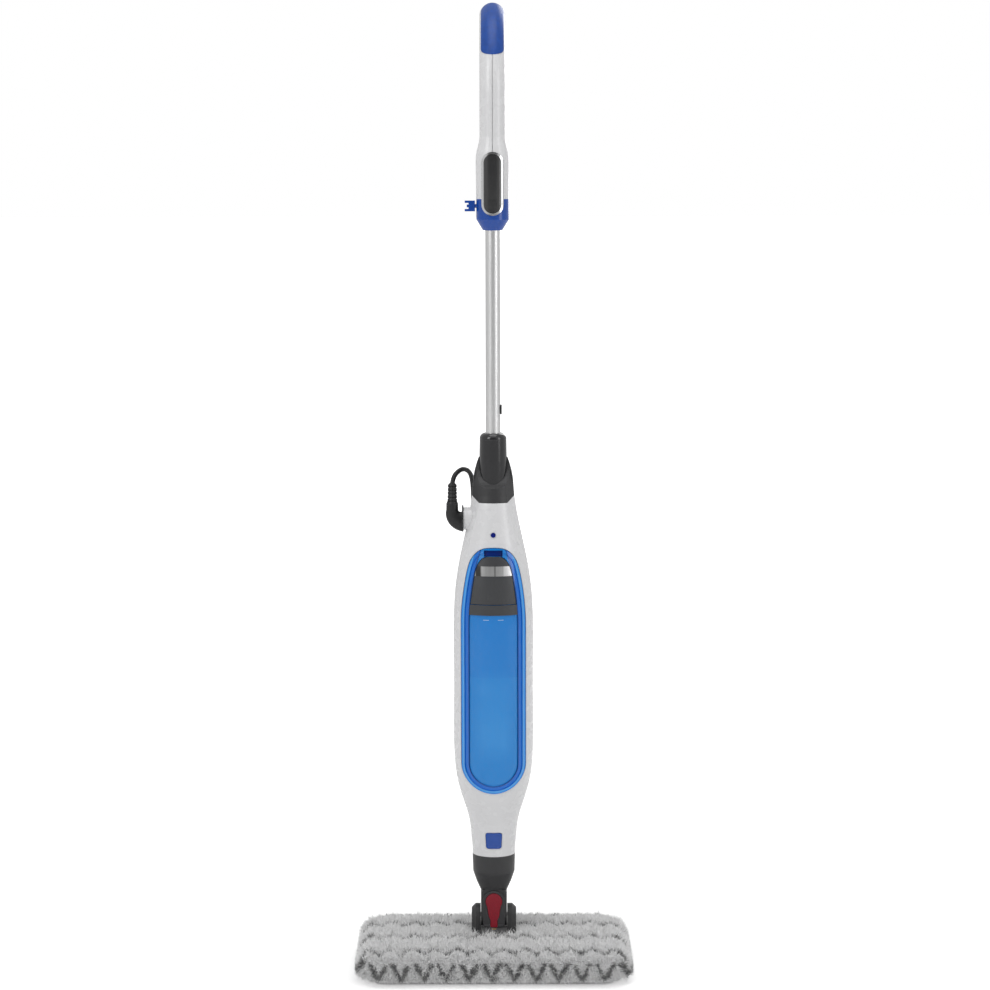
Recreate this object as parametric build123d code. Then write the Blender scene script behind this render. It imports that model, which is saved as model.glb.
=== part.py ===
from build123d import *
import math
import os

os.makedirs("parts", exist_ok=True)

# Steam mop, millimetres. +Z up, front towards -Y, origin on the floor under the pole's axis.

# Hinge axes
PITCH_Z = 58.0
ROLL_Z = 69.0
WING_X = 20.0
WING_Z = 10.0

# Mop pad and head
PAD_HALF_X = 168.0
PAD_FRONT = -122.0
PAD_REAR = 85.0
PAD_HEIGHT = 38.0
PAD_CORNER = 34.0
PAD_GAP_X = 9.0
PAD_SOLE = 5.5
BLOCK_HALF_X = 31.0
BLOCK_HALF_Y = 26.0
BLOCK_TOP = 35.0
PLATE_BOTTOM = 14.0
PLATE_TOP = 20.0
KNUCKLE_R = 4.0
LUG_R = 14.0
LUG_IN = 16.75
LUG_OUT = 28.0
LUG_SLOPE = 5.0

# Neck
LINK_HALF_X = 16.25
LINK_HALF_Y = 15.0
ARCH_R = 26.5
ARCH_GAP = 0.4
TONGUE_HALF_Y = 5.0
TONGUE_R = 6.2
PIN_R = 2.5
RUN_GAP = 0.05
LEVER_Z = 49.0
LEVER_HEAD_Z = 79.0
SPIGOT_R = 14.0
COLLAR_TOP = 138.0

# Body sections: height, half width, half depth
BODY = [
    (138.0, 26.7, 25.5), (159.0, 28.0, 26.5), (174.0, 29.3, 27.5), (190.0, 32.5, 30.0),
    (205.0, 37.3, 33.6), (220.0, 42.0, 37.2), (236.0, 45.8, 40.2), (266.0, 49.0, 43.0),
    (350.0, 49.2, 43.2), (446.0, 49.0, 43.0), (485.0, 46.0, 40.6), (515.0, 41.0, 36.4),
    (540.0, 35.6, 32.4), (592.0, 26.1, 24.9),
]
COLLAR = [(88.0, 15.2, 15.2), (102.0, 21.5, 20.5), (115.0, 26.0, 25.0), (138.0, 26.7, 25.5)]
CAP = [
    (580.0, 28.3, 26.8), (592.0, 26.1, 24.9), (604.0, 25.3, 24.1), (613.0, 24.5, 23.3), (622.0, 22.9, 21.8),
    (631.0, 20.4, 19.6), (638.0, 17.9, 17.6),
]
CAP_HOLLOW_TOP = 598.0
# Line where the body ends and the cap begins, seen from the front
CAP_LINE = [(-60, 591), (-26.2, 591), (-17.6, 583.5), (17.6, 583.5), (26.2, 591), (60, 591)]
# Cradle in the cap's front, seen from the side: y, z
CRADLE = [
    (-60, 601.8), (-23.6, 601.8), (-17.2, 605.5), (-15.5, 608), (-10.3, 614.2),
    (-5, 622), (-1.5, 631), (0, 640),
    (0, 700), (-60, 700),
]
# Flat facets beside the front: z, half width, half depth, inner x, outer x, distance kept outside the skin
FACETS = [
    (505, 42.7, 37.8, 33.5, 42.3, 1.6), (529, 38.0, 34.2, 30.0, 37.4, 0), (583, 27.7, 26.1, 17.6, 27.2, 0),
    (592, 26.1, 24.9, 16.6, 25.7, 0), (604, 25.3, 24.1, 15.8, 24.9, 0), (640, 17.6, 17.3, 11.0, 17.2, 0),
]
HANDLE_FOOT = [
    (955.0, 20.0, 18.6), (970.0, 20.1, 18.65), (985.0, 20.3, 18.7), (998.0, 20.5, 18.8), (1006.0, 20.3, 18.7),
    (1012.0, 19.5, 18.1), (1018.0, 17.9, 16.8), (1024.0, 16.5, 15.6), (1030.0, 15.75, 15.0),
]
HANDLE_COLLAR = [(917.0, 12.0, 11.6), (930.0, 20.0, 18.4), (955.0, 20.0, 18.6)]
BADGE_SKIN = [(917.0, 20.0, 18.6), (955.0, 20.0, 18.6), (1007.0, 20.4, 18.8), (1030.0, 20.4, 18.8)]
WALL = 2.5

# Water tank
TANK_HALF_X = 39.75
TANK_TOP = 529.0
TANK_BOTTOM = 222.0
TANK_FOOT_Z = 259.0
TANK_SHOULDER = [(39.75, 430.0, 0.0), (38.2, 462.0, 11.0), (32.6, 498.0, 26.0), (26.0, 516.5, 45.0),
                 (14.0, 527.2, 76.0), (0.0, 529.0, 90.0)]
TANK_BACK = -5.0
TANK_WALL = 3.0
RIM_WIDTH = 9.5
RIM_BEVEL = 4.0
BAY_GAP = 0.5
VALVE_Z = 240.0
FILL_Z = 490.0
FILL_R = 10.0
DOOR_BOTTOM = 460.2
DOOR_HINGE = (-44.0, 459.5)
BAND_Z = (495.0, 507.0)
SCOOP_HALF_X = 11.4
SCOOP_Z = (519.0, 526.4)
BAND_FOOT = 446.6

# Hoses inside the body
INTAKE_ROUTE = [
    (0, 6, 240), (0, 13, 240), (-3, 17, 228), (-3, 18, 206), (5, 18, 195), (14, 18, 197), (14, 18, 206),
]
STEAM_ROUTE = [
    (0, 0.5, 167), (0, 0.5, 177), (-12, 10, 200), (-18, 14, 224), (-18, 14, 444), (4, 20, 440), (4, 20, 425),
]

# Status light
LIGHT_Z = 545.0

# Pole and handle
POLE_R = 9.15
POLE_WALL = 1.0
POLE_FOOT = 608.0
SOCKET_TOP = 668.0
BUTTON_Z = 697.0
GRIP_X = 15.75
GRIP_Y = 15.0
BEND_START = 1085.0
BEND_R = 97.3
BEND_TURN = 75.0
INSERT_X = 28.0
INSERT_LENGTH = 98.0
SEAM_WIDTH = 0.6
SEAM_DEPTH = 1.0
GRIP_BOSS = (1.5, 1050.0)
BADGE_Z = 973.5
BADGE_SIZE = (27.0, 77.0)

# Cord
CORD_R = 3.0
CORD_ROUTE = [
    (-50.6, 8.2, 603.6), (-49.4, 12.0, 611.0), (-45.0, 17.2, 616.8), (-38.6, 23.6, 620.4),
    (-32.4, 31.2, 618.6), (-27.8, 39.4, 612.0), (-25.8, 46.6, 601.4), (-25.0, 51.6, 586.0),
    (-24.5, 53.6, 561.0), (-24.1, 52.2, 521.0), (-24.0, 49.6, 481.0),
]
BOSS_Z = 561.5
FLANGE_X = -38.6
RELIEF_LEAN = 20.0
RELIEF_FOOT = 581.0
RELIEF_X = -50.6
HANK_X = 33.0
HANK_HOLE = 15.0
HANK_RUN = 110.0
HANK_Z = 405.0
HANK_Y = (46.5, 76.5)
TAIL = (-30.0, 73.4)
PLUG_TOP = 300.0
HOOK_Z = HANK_Z + HANK_RUN / 2 + HANK_HOLE - 6.2


def save(shape, node):
    export_step(shape, "parts/" + node + ".step")


def box(x0, x1, y0, y1, z0, z1):
    size = (x1 - x0, y1 - y0, z1 - z0)
    return Pos((x0 + x1) / 2, (y0 + y1) / 2, (z0 + z1) / 2) * Box(*size)


def rod_x(radius, x0, x1, y, z):
    return Pos((x0 + x1) / 2, y, z) * Rot(0, 90, 0) * Cylinder(radius, x1 - x0)


def rod_y(radius, y0, y1, x, z):
    return Pos(x, (y0 + y1) / 2, z) * Rot(90, 0, 0) * Cylinder(radius, y1 - y0)


def rod_z(radius, z0, z1, x=0.0, y=0.0):
    return Pos(x, y, (z0 + z1) / 2) * Cylinder(radius, z1 - z0)


def stack(sections, grow=0.0, straight=False):
    """Body through ellipses; grow moves the surface out, or in when negative."""
    return loft([Pos(0, 0, z) * Ellipse(x + grow, y + grow) for z, x, y in sections], ruled=straight)


def prism(face_xz, y0, y1):
    """Extrude a face drawn in X and Z from y0 to y1."""
    return extrude(Plane((0, y1, 0), x_dir=(1, 0, 0), z_dir=(0, -1, 0)) * face_xz, y1 - y0)


def tank_outline(inset):
    """Tank seen from the front: half-ellipse foot, straight sides, rounded shoulder."""
    points = []
    for x, z, turn in TANK_SHOULDER:
        angle = math.radians(turn)
        points.append((x - inset * math.cos(angle), z - inset * math.sin(angle)))
    half = TANK_HALF_X - inset
    foot = TANK_FOOT_Z - TANK_BOTTOM - inset
    mirrored = [(-x, z) for x, z in reversed(points[:-1])]
    crown = Spline(*points, *mirrored, tangents=[(0, 1), (0, -1)])
    down = Line((-half, points[0][1]), (-half, TANK_FOOT_Z))
    bowl = Pos(0, TANK_FOOT_Z) * EllipticalCenterArc((0, 0), half, foot, start_angle=180, arc_size=180)
    rise = Line((half, TANK_FOOT_Z), (half, points[0][1]))
    return make_face(Curve() + [crown, down, bowl, rise])


def above(shape, z):
    return shape & box(-200, 200, -200, 200, z, 1300)


def below(shape, z):
    return shape & box(-200, 200, -200, 200, -10, z)


# ---------------------------------------------------------------- head

def head_block():
    block = box(-BLOCK_HALF_X, BLOCK_HALF_X, -BLOCK_HALF_Y, BLOCK_HALF_Y, PLATE_TOP, BLOCK_TOP)
    block = fillet(block.edges().filter_by(Axis.Z), 6)
    lug = head_lug()
    block += [lug, mirror(lug, about=Plane.YZ)]
    block -= rod_x(PIN_R, -40, 40, 0, PITCH_Z)
    block -= rod_z(3.0, PLATE_TOP, BLOCK_TOP, 0, 12)
    for x, y in screw_places():
        block -= rod_z(1.5, PLATE_TOP, 32, x, y)
    return block


def head_lug():
    """Right ear of the neck hinge, its outer rim sloping down away from the neck."""
    lug = rod_x(LUG_R, LUG_IN, LUG_OUT, 0, PITCH_Z)
    lug += box(LUG_IN, LUG_OUT, -LUG_R, LUG_R, BLOCK_TOP - 1, PITCH_Z)
    rim = [e for e in lug.faces().sort_by(Axis.X)[-1].edges() if e.center().Z > BLOCK_TOP]
    return chamfer(rim, LUG_SLOPE)


def screw_places():
    return [(sx * 26, sy * 12) for sx in (-1, 1) for sy in (-1, 1)]


def base_plate():
    plate = box(-BLOCK_HALF_X, BLOCK_HALF_X, -BLOCK_HALF_Y, BLOCK_HALF_Y, PLATE_BOTTOM, PLATE_TOP)
    plate = fillet(plate.edges().filter_by(Axis.Z), 6)
    for sx in (-1, 1):
        for y0, y1 in ((-24, -18), (18, 24)):
            x = sx * WING_X
            plate += rod_y(KNUCKLE_R, y0, y1, x, WING_Z)
            plate += box(x - KNUCKLE_R, x + KNUCKLE_R, y0, y1, WING_Z, PLATE_BOTTOM + 1)
        plate -= rod_y(1.5, -30, 30, sx * WING_X, WING_Z)
    plate -= rod_z(3.0, 0, 30, 0, 12)
    for x, y in screw_places():
        plate -= rod_z(1.5, 0, 30, x, y) + rod_z(3.0, 0, PLATE_BOTTOM + 2, x, y)
    return plate


def head_screws():
    screws = []
    for x, y in screw_places():
        head = rod_z(3.0, PLATE_BOTTOM + 0.5, PLATE_BOTTOM + 2, x, y)
        slot = box(x - 2.2, x + 2.2, y - 0.4, y + 0.4, PLATE_BOTTOM, PLATE_BOTTOM + 1.2)
        screws.append(head + rod_z(1.5, PLATE_BOTTOM + 2, 32, x, y) - slot)
    return Compound(children=screws)


def wing(side):
    plate = box(24.3, 155.0, -106, 70, 9.0, 26.0)
    plate -= box(24.0, 34.0, -29.5, 29.5, 13.2, 30)
    plate += rod_y(KNUCKLE_R, -17.6, 17.6, WING_X, WING_Z)
    plate += box(WING_X, 25.0, -17.6, 17.6, WING_Z - KNUCKLE_R, 13.2)
    plate -= box(24.0, 34.0, -29.5, -17.6, 5, 30) + box(24.0, 34.0, 17.6, 29.5, 5, 30)
    plate -= rod_y(1.5 + RUN_GAP, -30, 30, WING_X, WING_Z)
    for x in (60, 95, 130):
        plate -= box(x - 12, x + 12, -90, -10, 12, 30) + box(x - 12, x + 12, 10, 55, 12, 30)
    return plate if side > 0 else mirror(plate, about=Plane.YZ)


def pad_half(side):
    pad = box(PAD_GAP_X, PAD_HALF_X, PAD_FRONT, PAD_REAR, 0, PAD_HEIGHT)
    outer = pad.edges().filter_by(Axis.Z).group_by(Axis.X)[-1]
    pad = fillet(outer, PAD_CORNER)
    corner = [(0, -1), (PAD_GAP_X + 6.5, -1), (PAD_GAP_X + 6.5, 0), (PAD_GAP_X, WING_Z), (0, WING_Z)]
    pad -= prism(make_face(Polyline(*corner, close=True)), PAD_FRONT - 5, PAD_REAR + 5)
    pad -= box(0, 34, -29.5, 29.5, PAD_SOLE, 60) + box(0, 13.2, -29.5, 29.5, 2, 60)
    pad -= box(24.3, 155.0, -106, 70, 9.0, 26.0)
    for x in (60, 95, 130):
        pad += box(x - 12, x + 12, -90, -10, 12, 26) + box(x - 12, x + 12, 10, 55, 12, 26)
    return pad if side > 0 else mirror(pad, about=Plane.YZ)


def pad_centre():
    strip = box(-8, 8, PAD_FRONT, PAD_REAR, 0, PAD_HEIGHT)
    return strip - box(-9, 9, -BLOCK_HALF_Y - 3, BLOCK_HALF_Y + 3, PLATE_BOTTOM, 60)


# ---------------------------------------------------------------- neck

def neck_link():
    link = rod_x(LUG_R, -LINK_HALF_X, LINK_HALF_X, 0, PITCH_Z)
    post = box(-LINK_HALF_X, LINK_HALF_X, -LINK_HALF_Y, LINK_HALF_Y, PITCH_Z, 100)
    post = fillet(post.edges().filter_by(Axis.Z), 3)
    link += post & rod_y(ARCH_R, -20, 20, 0, ROLL_Z)
    link += surround()
    slot = box(-20, 20, -TONGUE_HALF_Y - 0.3, TONGUE_HALF_Y + 0.3, ROLL_Z - TONGUE_R - 0.4, 100)
    link -= slot
    link -= rod_x(PIN_R + RUN_GAP, -20, 20, 0, PITCH_Z)
    link -= rod_y(PIN_R, -LINK_HALF_Y + 1.5, LINK_HALF_Y + 1, 0, ROLL_Z)
    link -= prism(keyhole(0.4), -30, -LINK_HALF_Y + 1.2)
    link -= rod_x(1.5 + RUN_GAP, -12.2, 12.2, -LINK_HALF_Y - 1.6, LEVER_Z)
    return link


def keyhole(grow):
    """Red lever seen from the front: round head above a tapering stem."""
    head = Pos(0, LEVER_HEAD_Z) * Circle(10.3 + grow)
    stem = [(-8.6 - grow, 74), (8.6 + grow, 74), (6.4 + grow, 60), (4.2 + grow, 55),
            (4.2 + grow, 46 - grow), (-4.2 - grow, 46 - grow), (-4.2 - grow, 55), (-6.4 - grow, 60)]
    return head + make_face(Polyline(*stem, close=True))


def surround():
    outer = Pos(0, LEVER_HEAD_Z) * Circle(13.5) + Pos(0, 62) * Rectangle(27, 34)
    ring = prism(outer, -LINK_HALF_Y - 3.2, -LINK_HALF_Y + 0.5)
    return ring & rod_y(ARCH_R - 1.5, -30, 20, 0, ROLL_Z)


def release_lever():
    lever = prism(keyhole(0), -LINK_HALF_Y - 3.6, -LINK_HALF_Y - 0.6)
    return lever + rod_x(1.5, -12.0, 12.0, -LINK_HALF_Y - 1.6, LEVER_Z)


def neck_collar():
    collar = stack(COLLAR, straight=True)
    collar -= rod_y(ARCH_R + ARCH_GAP, -40, 40, 0, ROLL_Z)
    tongue = box(-TONGUE_R, TONGUE_R, -TONGUE_HALF_Y, TONGUE_HALF_Y, ROLL_Z, 100)
    tongue += rod_y(TONGUE_R, -TONGUE_HALF_Y, TONGUE_HALF_Y, 0, ROLL_Z)
    collar += tongue - rod_y(PIN_R + RUN_GAP, -20, 20, 0, ROLL_Z)
    collar += rod_z(SPIGOT_R, COLLAR_TOP - 1, COLLAR_TOP + 25)
    collar -= rod_z(4.0, 110, 170)
    collar -= box(-6, 6, -16, -11.5, 148, 158)
    return collar


# ---------------------------------------------------------------- body

def bay(grow, back):
    return prism(tank_outline(-grow), -70, back)


def cap_line():
    """Everything above the line where the cap begins."""
    return prism(make_face(Polyline(*CAP_LINE, (60, 700), (-60, 700), close=True)), -60, 60)


def facet_cut():
    """Wedges that flatten the skin on both sides of the front, from the tank's shoulder to the cap."""
    faces = []
    for z, a, b, x1, x2, out in FACETS:
        first = Vector(x1, -b * math.sqrt(1 - (x1 / a) ** 2))
        last = Vector(x2, -b * math.sqrt(1 - (x2 / a) ** 2))
        along = (last - first).normalized()
        outward = Vector(along.Y, -along.X)
        corners = [first + outward * out - along * out, last + outward * out + along * out]
        corners += [corners[1] + outward * 15, corners[0] + outward * 15]
        faces.append(Pos(0, 0, z) * make_face(Polyline(*[(c.X, c.Y) for c in corners], close=True)))
    wedge = loft(faces, ruled=True)
    return wedge + mirror(wedge, about=Plane.YZ)


def housing_shell():
    shell = stack(BODY) - stack(BODY, -WALL) - cap_line() - facet_cut()
    floor = below(stack(BODY), COLLAR_TOP + WALL) - rod_z(SPIGOT_R + 3, 100, 200)
    return shell + floor


def front_housing(shell):
    front = shell & box(-60, 60, -60, 0, 100, 600)
    tray = bay(BAY_GAP + WALL, TANK_BACK + BAY_GAP + WALL) & stack(BODY)
    front += tray
    front -= bay(BAY_GAP, TANK_BACK + BAY_GAP)
    front -= prism(button_face(0.35), -40, -20)
    front -= rod_y(4.0, -50, -26, 0, LIGHT_Z)
    front -= rod_x(14, -60, -20, 0, BOSS_Z)
    front -= rod_y(3.4, -6, 1, 0, VALVE_Z)
    for x, z in boss_places():
        front += rod_y(3.4, -60, 0, x, z) & stack(BODY, -1)
        front -= rod_y(1.4, -9, 0, x, z)
    return front


def boss_places():
    return [(-24, 197), (24, 197), (-17, 572), (17, 572)]


def rear_housing(shell):
    rear = shell & box(-60, 60, 0, 60, 100, 600)
    rear -= rod_x(14, -60, -20, 0, BOSS_Z)
    for x, z in boss_places():
        rear += rod_y(4.4, 0, 60, x, z) & stack(BODY, -1)
        rear -= rod_y(1.5, -1, 60, x, z)
        rear -= rod_y(2.9, 6, 60, x, z)
    rear -= rod_y(6.0, 30, 60, 0, HOOK_Z)
    return rear


def housing_screws():
    screws = []
    for x, z in boss_places():
        head = rod_y(2.8, 6.0, 8.0, x, z) - rod_y(1.0, 7.2, 9.0, x, z)
        screws.append(head + rod_y(1.4, -8.5, 6.2, x, z))
    return Compound(children=screws)


def top_cap():
    cap = stack(CAP, straight=True) & cap_line()
    cap -= below(stack(CAP, -WALL, straight=True), CAP_HOLLOW_TOP) + rod_z(17.25, 570, 700)
    cradle = extrude(Plane.YZ * make_face(Polyline(*CRADLE, close=True)), 60, both=True)
    return cap - cradle - facet_cut()


def pole_socket():
    edge = [(0, 600), (17.25, 600), (17.1, 632), (16.6, 660)]
    arc = ThreePointArc((16.6, 660), (15.2, 665.4), (11.4, SOCKET_TOP))
    profile = Polyline(*edge) + arc + Polyline((11.4, SOCKET_TOP), (0, SOCKET_TOP), (0, 600))
    socket = revolve(Plane.XZ * make_face(profile), Axis.Z)
    return socket - rod_z(POLE_R + RUN_GAP, POLE_FOOT, 700)


def button_face(grow):
    half_top, half_low = 10.25 + grow, 9.25 + grow
    low, top = 149 - grow, 169 + grow
    corners = [(-half_top, top), (half_top, top), (half_low, low), (-half_low, low)]
    face = make_face(Polyline(*corners, close=True))
    return fillet(face.vertices(), 3)


def release_button():
    button = prism(button_face(0), -40, -21.0) & stack(BODY, 0.9)
    return button - rod_y(5.0, -23.5, -20, 0, 159)


def spigot_socket():
    tube = rod_z(SPIGOT_R + 3, COLLAR_TOP, COLLAR_TOP + 29)
    tube -= rod_z(SPIGOT_R + RUN_GAP, COLLAR_TOP - 1, COLLAR_TOP + 26)
    tube -= rod_z(4.0, 150, 200)
    return tube - box(-6.5, 6.5, -20, -10, 147.5, 158.5)


def boiler():
    can = rod_z(15, 300, 425, 4, 20)
    can = fillet(can.edges(), 3)
    for z in range(312, 420, 12):
        can += rod_z(16.2, z, z + 3, 4, 20)
    return can


def pump():
    body = rod_z(9, 206, 262, 14, 18)
    return body + box(6, 22, 10, 26, 222, 246)


def circuit_board():
    board = box(-20, 20, 6, 7.6, 448, 530)
    parts = box(-14, -2, 7.6, 18, 460, 478) + box(4, 14, 7.6, 15, 490, 510)
    return board + parts + rod_y(3.4, 7.6, 20, 8, 468)


def hose(points, radius, wall):
    path = FilletPolyline(*points, radius=4)
    start = Plane(origin=path @ 0, z_dir=path % 0)
    return sweep(start * (Circle(radius) - Circle(radius - wall)), path=path)


def status_ring():
    ring = rod_y(4.0, -50, -26, 0, LIGHT_Z) - rod_y(3.0, -50, -26, 0, LIGHT_Z)
    return ring & (stack(BODY, 0.5) - stack(BODY, -WALL))


def status_lens():
    return rod_y(3.0, -50, -26, 0, LIGHT_Z) & (stack(BODY, 1.0) - stack(BODY, -WALL))


def tank_valve_seat():
    return rod_y(6.0, TANK_BACK + BAY_GAP + WALL, 6, 0, VALVE_Z) - rod_y(3.0 + RUN_GAP, -10, 10, 0, VALVE_Z)


def cord_boss():
    boss = rod_x(14, -36.8, -24, 0, BOSS_Z) - rod_x(9, -40, -20, 0, BOSS_Z)
    return boss - stack(BODY, -WALL)


def cord_flange():
    return rod_x(16.4, FLANGE_X, -36.8, 0, BOSS_Z) - rod_x(5.5, -40, -36, 0, BOSS_Z)


def relief_elbow():
    """Horn from the flange up to the ribs, its sections turning about a point on the flange."""
    faces = []
    for turn in range(0, 91, 15):
        angle = math.radians(turn)
        share = turn / 90
        far, near = 26.7 - 7.1 * share, 1.5 + 3.2 * share
        middle = (far + near) / 2
        centre = (FLANGE_X - middle * math.sin(angle), 0, 572.0 - middle * math.cos(angle))
        plane = Plane(origin=centre, x_dir=(0, 1, 0), z_dir=(-math.cos(angle), 0, math.sin(angle)))
        faces.append(plane * Ellipse(7.4 - 0.5 * share, (far - near) / 2))
    neck = ((572.0, 7.45), (580.0, 7.3), (583.0, 6.2))
    top = [Pos(RELIEF_X - 0.1, 0, z) * Ellipse(half, half - 0.5) for z, half in neck]
    return loft(faces) + loft(top, ruled=True)


def strain_relief():
    relief = relief_elbow() + rod_x(5.5, FLANGE_X - 0.5, -30, 0, BOSS_Z)
    leaning = Pos(RELIEF_X, 0, RELIEF_FOOT) * Rot(-RELIEF_LEAN, 0, 0)
    for step in range(5):
        z = 1.5 + step * 4.6
        radius = 6.0 - step * 0.12
        relief += leaning * (rod_z(radius, z, z + 3.0) + rod_z(radius - 1.3, z - 2, z + 4.5))
    return relief


# ---------------------------------------------------------------- cord

def cord_radii(route):
    """Largest tangent arc at each corner: 0.45 of the shorter run over tan of half the turn."""
    points = [Vector(*p) for p in route]
    radii = []
    for a, b, c in zip(points, points[1:], points[2:]):
        first, second = b - a, c - b
        turn = math.radians(first.get_angle(second))
        radii.append(0.45 * min(first.length, second.length) / math.tan(turn / 2))
    return radii


def cord_tube():
    radii = cord_radii(CORD_ROUTE)
    path = FilletPolyline(*CORD_ROUTE, radius=radii)
    start = Plane(origin=path @ 0, z_dir=path % 0)
    tube = sweep(start * Circle(CORD_R), path=path)
    print("cord radii", [round(r, 1) for r in radii], "length", round(path.length, 1))
    print("cord volume over section times length", round(tube.volume / (math.pi * CORD_R**2 * path.length), 4))
    return tube - strain_relief() - cord_hank()


def hank_face(half):
    return Pos(0, HANK_Z) * (Rectangle(2 * half, HANK_RUN)
                             + Pos(0, HANK_RUN / 2) * Circle(half) + Pos(0, -HANK_RUN / 2) * Circle(half))


def cord_hank():
    return prism(hank_face(HANK_X), *HANK_Y) - prism(hank_face(HANK_HOLE), *HANK_Y)


def cord_tie():
    y0, y1 = HANK_Y
    outer = box(-HANK_X - 1.4, HANK_X + 1.4, y0 - 1.4, y1 + 1.4, HANK_Z - 8, HANK_Z + 8)
    return outer - box(-HANK_X, HANK_X, y0, y1, HANK_Z - 9, HANK_Z + 9)


def cord_hook():
    hook = rod_y(6.0, 38, 79, 0, HOOK_Z) + box(-7, 7, 77.5, 82.5, HOOK_Z - 6, HOOK_Z + 24)
    return hook


def plug():
    sections = [(PLUG_TOP - 44, 13, 9), (PLUG_TOP - 20, 12, 9), (PLUG_TOP - 8, 6, 6), (PLUG_TOP, 4.6, 4.6)]
    return loft([Pos(*TAIL, z) * RectangleRounded(2 * a, 2 * b, 0.9 * b) for z, a, b in sections])


def plug_pins():
    pins = [rod_z(2.2, PLUG_TOP - 63, PLUG_TOP - 44, TAIL[0] + s * 8.5, TAIL[1]) for s in (-1, 1)]
    return Compound(children=pins)


def cord_tail(hank):
    return rod_z(CORD_R, PLUG_TOP, HANK_Z - HANK_RUN / 2, *TAIL) - hank


# ---------------------------------------------------------------- tank

def water_tank():
    skin = stack(BODY, 1.6)
    tank = bay(0, TANK_BACK) & skin
    tank -= prism(tank_outline(RIM_BEVEL), -70, TANK_BACK) - stack(BODY, 0.5)
    window = prism(tank_outline(RIM_WIDTH), -70, TANK_BACK)
    tank -= window - stack(BODY, -0.8)
    tank -= above(window, DOOR_BOTTOM - 0.8) - stack(BODY, -3.4)
    lower = below(prism(tank_outline(TANK_WALL), -70, TANK_BACK - TANK_WALL), 455) & stack(BODY, -4.0)
    upper = above(prism(tank_outline(TANK_WALL + 3), -70, TANK_BACK - TANK_WALL), 454.9) & stack(BODY, -7.0)
    tank -= lower + upper
    tank -= rod_y(FILL_R, -60, -20, 0, FILL_Z)
    tank -= box(-SCOOP_HALF_X, SCOOP_HALF_X, -60, 0, *SCOOP_Z) - stack(BODY, -3.0)
    return tank - rod_y(3.0, TANK_BACK - 6, TANK_BACK + 1, 0, VALVE_Z)


def tank_band():
    """Gray band across the window, just below the fill door's hinge."""
    strip = prism(tank_outline(RIM_WIDTH + 0.2), -70, TANK_BACK) & (stack(BODY, 0.5) - stack(BODY, -0.8))
    return strip & box(-60, 60, -70, 0, BAND_FOOT, DOOR_BOTTOM - 1.0)


def tank_valve():
    inside = TANK_BACK - TANK_WALL
    return rod_y(3.0, inside, 5.0, 0, VALVE_Z) + rod_y(5.5, inside - 2.0, inside, 0, VALVE_Z)


def door_body():
    solid = above(prism(tank_outline(RIM_WIDTH + 1.0), -70, TANK_BACK), DOOR_BOTTOM)
    return below(solid, 521 - 0.4)


def fill_door():
    door = door_body() & (stack(BODY, 0.7) - stack(BODY, -2.8))
    groove = box(-60, 60, -60, 0, *BAND_Z) - stack(BODY, -0.6)
    return door - groove


def door_trim():
    trim = door_body() & (stack(BODY, 1.0) - stack(BODY, -0.6))
    return trim & box(-60, 60, -60, 0, *BAND_Z)


def stopper():
    tip = Pos(0, -33.2, FILL_Z) * Rot(90, 0, 0) * Cone(8.0, 9.4, 4.0)
    return (tip + rod_y(9.4, -40.0, -35.2, 0, FILL_Z)) & stack(BODY, -2.81)


# ---------------------------------------------------------------- handle

def pole():
    tube = rod_z(POLE_R, POLE_FOOT, 1004) - rod_z(POLE_R - POLE_WALL, POLE_FOOT - 1, 1005)
    return tube - lock_button_slot(0.3)


def lock_button_slot(grow):
    face = Pos(0, BUTTON_Z) * SlotOverall(12 + 2 * grow, 7 + 2 * grow, rotation=90)
    return extrude(Plane.YZ * face, 12)


def pole_lock_button():
    button = lock_button_slot(0) & rod_z(POLE_R + 1.8, BUTTON_Z - 10, BUTTON_Z + 10)
    return button - rod_z(POLE_R - 3.0, BUTTON_Z - 12, BUTTON_Z + 12)


def grip_path():
    end = math.radians(BEND_TURN)
    mid = end / 2
    arc = ThreePointArc(
        (0, 0, BEND_START),
        (0, BEND_R * (1 - math.cos(mid)), BEND_START + BEND_R * math.sin(mid)),
        (0, BEND_R * (1 - math.cos(end)), BEND_START + BEND_R * math.sin(end)))
    return Line((0, 0, 1030), (0, 0, BEND_START)) + arc


def grip_body(grow):
    path = grip_path()
    bar = sweep(Plane((0, 0, 1030)) * Ellipse(GRIP_X + grow, GRIP_Y + grow), path=path)
    end = path @ 1
    axis = path % 1
    length = 11.0 + grow
    tip = loft([
        Plane(origin=end + axis * (length * t), x_dir=(1, 0, 0), z_dir=axis)
        * Ellipse((GRIP_X + grow) * math.sqrt(1 - t * t * 0.84), (GRIP_Y + grow) * math.sqrt(1 - t * t * 0.84))
        for t in (0, 0.35, 0.7, 0.9, 1.0)])
    return bar + tip


def handle_solid(grow):
    return stack(HANDLE_FOOT, grow, straight=True) + grip_body(grow)


def badge_prism(size_x, size_z):
    face = Pos(0, BADGE_Z) * SlotOverall(size_z, size_x, rotation=90)
    return prism(face, -40, -5)


def insert_prism():
    """Pill along the bend, pushed through the grip square to the bend's middle."""
    turn = math.radians(49.0)
    normal = Vector(0, -math.cos(turn), math.sin(turn))
    centre = Vector(0, BEND_R, BEND_START) + normal * (BEND_R + GRIP_Y)
    plane = Plane(origin=centre - normal * 17, x_dir=(1, 0, 0), z_dir=normal)
    return extrude(plane * SlotOverall(INSERT_LENGTH, INSERT_X, rotation=90), 40)


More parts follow.
